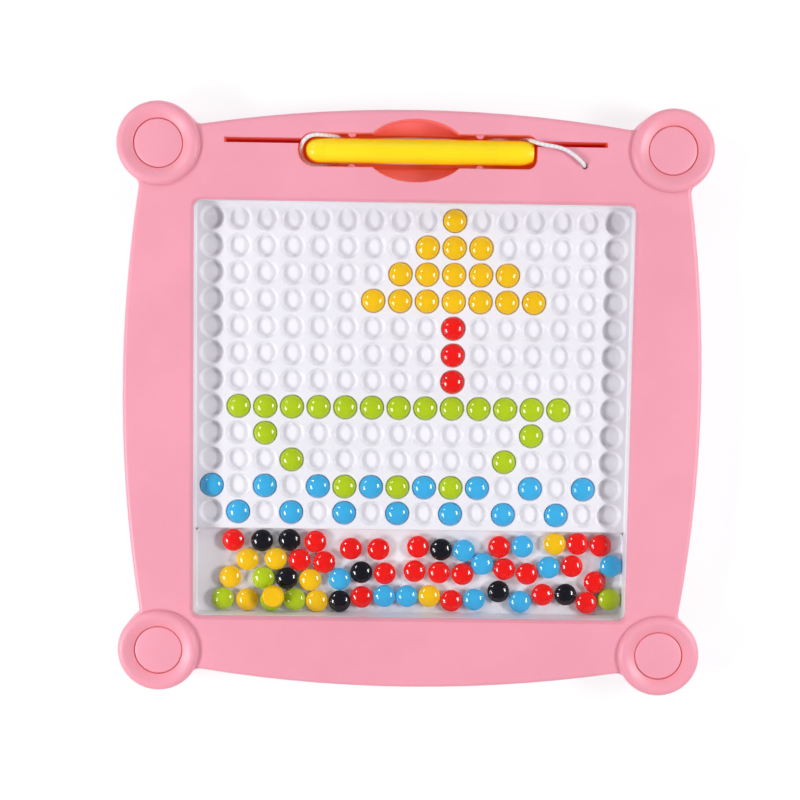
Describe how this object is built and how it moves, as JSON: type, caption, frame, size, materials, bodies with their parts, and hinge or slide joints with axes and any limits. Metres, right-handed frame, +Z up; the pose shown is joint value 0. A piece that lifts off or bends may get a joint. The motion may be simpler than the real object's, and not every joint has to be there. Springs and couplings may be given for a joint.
{
  "type": "magnetic bead drawing board",
  "caption": "Pink framed drawing board with a clear window over dimples and round beads, which a magnetic pen on a cord lifts from a tray and sets in the dimples.",
  "frame": {"origin": "under the middle of the case, at the height of the feet", "axes": "+Z up out of the drawing window, +Y towards the edge that holds the pen, +X to the pen's tail"},
  "size_m": [0.3, 0.3, 0.0226],
  "materials": {
    "pink_case": "satin pink moulded plastic",
    "white_board": "white glossy vacuum-formed plastic",
    "clear_sheet": "clear polished plastic sheet",
    "yellow_pen": "glossy yellow plastic",
    "white_cord": "braided white polyester",
    "yellow_bead": "glossy",
    "red_bead": "glossy",
    "green_bead": "glossy",
    "blue_bead": "glossy",
    "black_bead": "glossy",
    "core_steel": "stamped",
    "magnet": "nickel plated",
    "screw_steel": "zinc plated",
    "foot_rubber": "matt white rubber"
  },
  "bodies": {
    "board": {"front_frame": "pink_case", "back_cover": "pink_case", "bead_board": "white_board", "clear_window": "clear_sheet", "case_screws": "screw_steel", "cord_knot": "white_cord", "corner_cap_top_left": "pink_case", "corner_cap_top_right": "pink_case", "corner_cap_bottom_left": "pink_case", "corner_cap_bottom_right": "pink_case", "rubber_foot_top_left": "foot_rubber", "rubber_foot_top_right": "foot_rubber", "rubber_foot_bottom_left": "foot_rubber", "rubber_foot_bottom_right": "foot_rubber"},
    "pen": {"pen_barrel": "yellow_pen", "pen_nose": "yellow_pen", "pen_tail_cap": "yellow_pen", "pen_magnet": "magnet", "pen_cord": "white_cord", "pen_knot": "white_cord"},
    "sail_yellow": {"sail_yellow": "yellow_bead", "sail_yellow_steel": "core_steel"},
    "mast_red": {"mast_red": "red_bead", "mast_red_steel": "core_steel"},
    "hull_green": {"hull_green": "green_bead", "hull_green_steel": "core_steel"},
    "waves_blue": {"waves_blue": "blue_bead", "waves_blue_steel": "core_steel"},
    "tray_red": {"tray_red": "red_bead", "tray_red_steel": "core_steel"},
    "tray_black": {"tray_black": "black_bead", "tray_black_steel": "core_steel"},
    "tray_blue": {"tray_blue": "blue_bead", "tray_blue_steel": "core_steel"},
    "tray_yellow": {"tray_yellow": "yellow_bead", "tray_yellow_steel": "core_steel"},
    "tray_green": {"tray_green": "green_bead", "tray_green_steel": "core_steel"},
    "stacked_pair": {"stacked_bead": "yellow_bead", "stacked_bead_steel": "core_steel", "under_bead": "green_bead", "under_bead_steel": "core_steel"}
  },
  "joints": [
    {"name": "pen_lift", "type": "slide", "parent": "board", "child": "pen", "axis": [0, 0, 1], "range_m": [0, 0.03]},
    {"name": "sail_yellow_lift", "type": "slide", "parent": "board", "child": "sail_yellow", "axis": [0, 0, 1], "range_m": [0, 0.003]},
    {"name": "mast_red_lift", "type": "slide", "parent": "board", "child": "mast_red", "axis": [0, 0, 1], "range_m": [0, 0.003]},
    {"name": "hull_green_lift", "type": "slide", "parent": "board", "child": "hull_green", "axis": [0, 0, 1], "range_m": [0, 0.003]},
    {"name": "waves_blue_lift", "type": "slide", "parent": "board", "child": "waves_blue", "axis": [0, 0, 1], "range_m": [0, 0.003]},
    {"name": "tray_red_lift", "type": "slide", "parent": "board", "child": "tray_red", "axis": [0, 0, 1], "range_m": [0, 0.005]},
    {"name": "tray_black_lift", "type": "slide", "parent": "board", "child": "tray_black", "axis": [0, 0, 1], "range_m": [0, 0.003]},
    {"name": "tray_blue_lift", "type": "slide", "parent": "board", "child": "tray_blue", "axis": [0, 0, 1], "range_m": [0, 0.005]},
    {"name": "tray_yellow_lift", "type": "slide", "parent": "board", "child": "tray_yellow", "axis": [0, 0, 1], "range_m": [0, 0.005]},
    {"name": "tray_green_lift", "type": "slide", "parent": "board", "child": "tray_green", "axis": [0, 0, 1], "range_m": [0, 0.003]},
    {"name": "stacked_pair_lift", "type": "slide", "parent": "board", "child": "stacked_pair", "axis": [0, 0, 1], "range_m": [0, 0.0003]}
  ]
}
